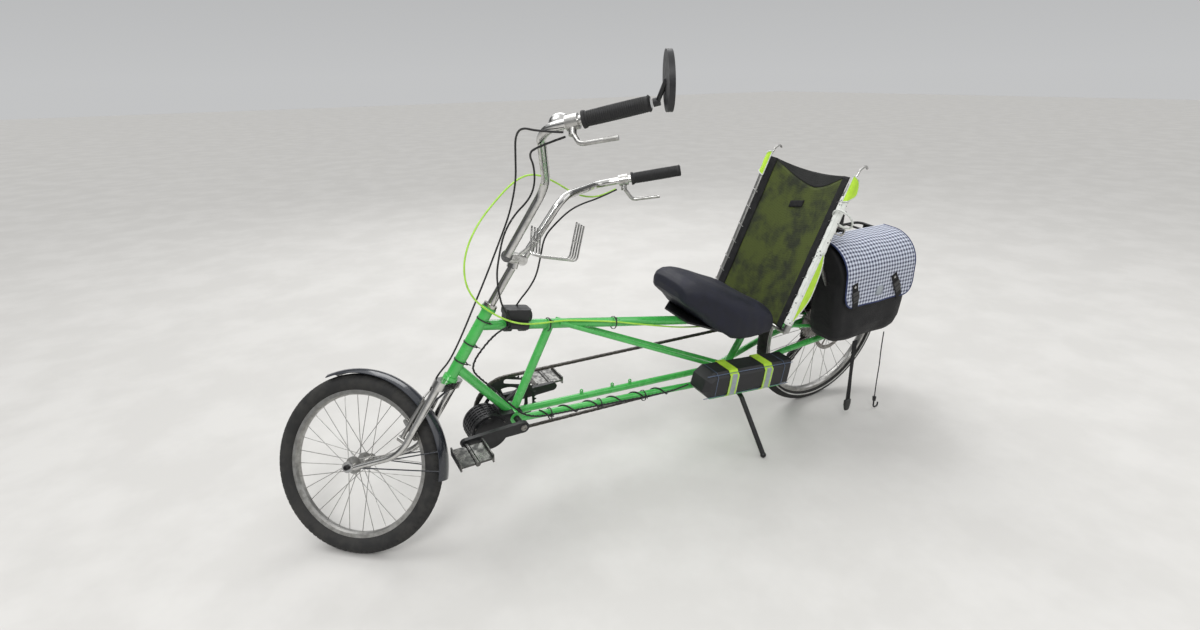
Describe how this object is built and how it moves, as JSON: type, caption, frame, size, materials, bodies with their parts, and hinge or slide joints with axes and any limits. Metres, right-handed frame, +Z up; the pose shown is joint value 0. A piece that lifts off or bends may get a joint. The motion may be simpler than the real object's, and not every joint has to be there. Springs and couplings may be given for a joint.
{
  "type": "recumbent bicycle with electric mid-drive",
  "caption": "Long-wheelbase two-wheeled recumbent cycle with mesh-back seat, tall steering bars, mid-drive motor, side battery and carrier bags, parked leaning on its side stand.",
  "frame": {"origin": "on the floor under the middle of the whole bicycle as it stands parked", "axes": "+X forward along the bicycle, +Y to the rider's left, +Z up from the floor"},
  "size_m": [2.2228, 0.8248, 1.2868],
  "materials": {
    "bag_fabric": "coated canvas",
    "bare_alloy": "brushed, slightly dulled",
    "black_metal": "satin black",
    "black_plastic": "moulded",
    "chrome": "bright plate",
    "cushion_fabric": "stretched cover cloth",
    "frame_green": "glossy green enamel with small chips",
    "guard_plastic": "polished black",
    "lime_cable": "cable housing",
    "mesh_fabric": "open woven mesh",
    "neon_fabric": "reflective tape cloth",
    "rubber": "matt",
    "steel": "oiled steel",
    "tyre": "dull rubber with road dust"
  },
  "bodies": {
    "frame": {"battery": "black_plastic", "battery_straps": "neon_fabric", "battery_tray": "frame_green", "bottom_bracket": "frame_green", "cable_lock": "black_plastic", "chain": "steel", "chainstays": "frame_green", "control_cables": "rubber", "cord_hook": "black_plastic", "derailleur": "black_metal", "down_tube": "frame_green", "frame_cable": "rubber", "hanging_cord": "rubber", "hanging_strap": "bag_fabric", "head_tube": "frame_green", "lower_tubes": "frame_green", "mid_stays": "frame_green", "motor": "black_metal", "pannier_left": "bag_fabric", "pannier_right": "bag_fabric", "rack": "black_metal", "rear_brake": "black_metal", "rear_upright": "frame_green", "riser_tube": "frame_green", "seat_clips": "bare_alloy", "seat_cover": "neon_fabric", "seat_cushion": "cushion_fabric", "seat_frame": "bare_alloy", "seat_mesh": "mesh_fabric", "seat_pan": "black_metal", "seat_stays": "frame_green", "seat_struts": "bare_alloy", "shift_cable": "lime_cable", "stand_bracket": "black_metal", "top_tube": "frame_green"},
    "steering": {"bell": "chrome", "bottle_cage": "chrome", "brake_levers": "bare_alloy", "fork": "chrome", "front_brake": "bare_alloy", "front_brake_cable": "rubber", "front_mudguard": "guard_plastic", "grips": "rubber", "handlebar": "chrome", "mirror": "black_plastic", "stem": "chrome"},
    "front_wheel": {"front_hub": "bare_alloy", "front_rim": "bare_alloy", "front_tyre": "tyre"},
    "rear_wheel": {"cassette": "steel", "rear_hub": "bare_alloy", "rear_rim": "bare_alloy", "rear_rotor": "steel", "rear_tyre": "tyre"},
    "crankset": {"chainring": "black_metal", "crankset": "black_metal"},
    "pedal_left": {"pedal_left": "bare_alloy"},
    "pedal_right": {"pedal_right": "bare_alloy"},
    "kickstand": {"kickstand": "black_metal"}
  },
  "joints": [
    {"name": "steering_turn", "type": "hinge", "parent": "frame", "child": "steering", "pos_m": [0.66038, -0.11564, 0.48297], "axis": [-0.5446, 0.0767, 0.8352], "range_deg": [0, 99], "deforming": ["shift_cable", "control_cables"]},
    {"name": "front_wheel_spin", "type": "hinge", "parent": "steering", "child": "front_wheel", "pos_m": [0.91362, -0.22391, 0.23538], "axis": [0.6378, 0.6846, 0.3529], "continuous": true},
    {"name": "rear_wheel_spin", "type": "hinge", "parent": "frame", "child": "rear_wheel", "pos_m": [-0.79345, -0.13091, 0.31675], "axis": [0, 0.9958, -0.0915], "continuous": true},
    {"name": "crank_spin", "type": "hinge", "parent": "frame", "child": "crankset", "pos_m": [0.49055, -0.13124, 0.31315], "axis": [0, 0.9958, -0.0915], "continuous": true},
    {"name": "pedal_left_spin", "type": "hinge", "parent": "crankset", "child": "pedal_left", "pos_m": [0.66055, -0.13125, 0.31313], "axis": [0, 0.9958, -0.0915], "continuous": true},
    {"name": "pedal_right_spin", "type": "hinge", "parent": "crankset", "child": "pedal_right", "pos_m": [0.32055, -0.13124, 0.31317], "axis": [0, 0.9958, -0.0915], "continuous": true},
    {"name": "kickstand_fold", "type": "hinge", "parent": "frame", "child": "kickstand", "pos_m": [-0.32346, -0.09137, 0.2006], "axis": [-0.0363, 0.7337, 0.6785], "range_deg": [0, 75.29]}
  ]
}
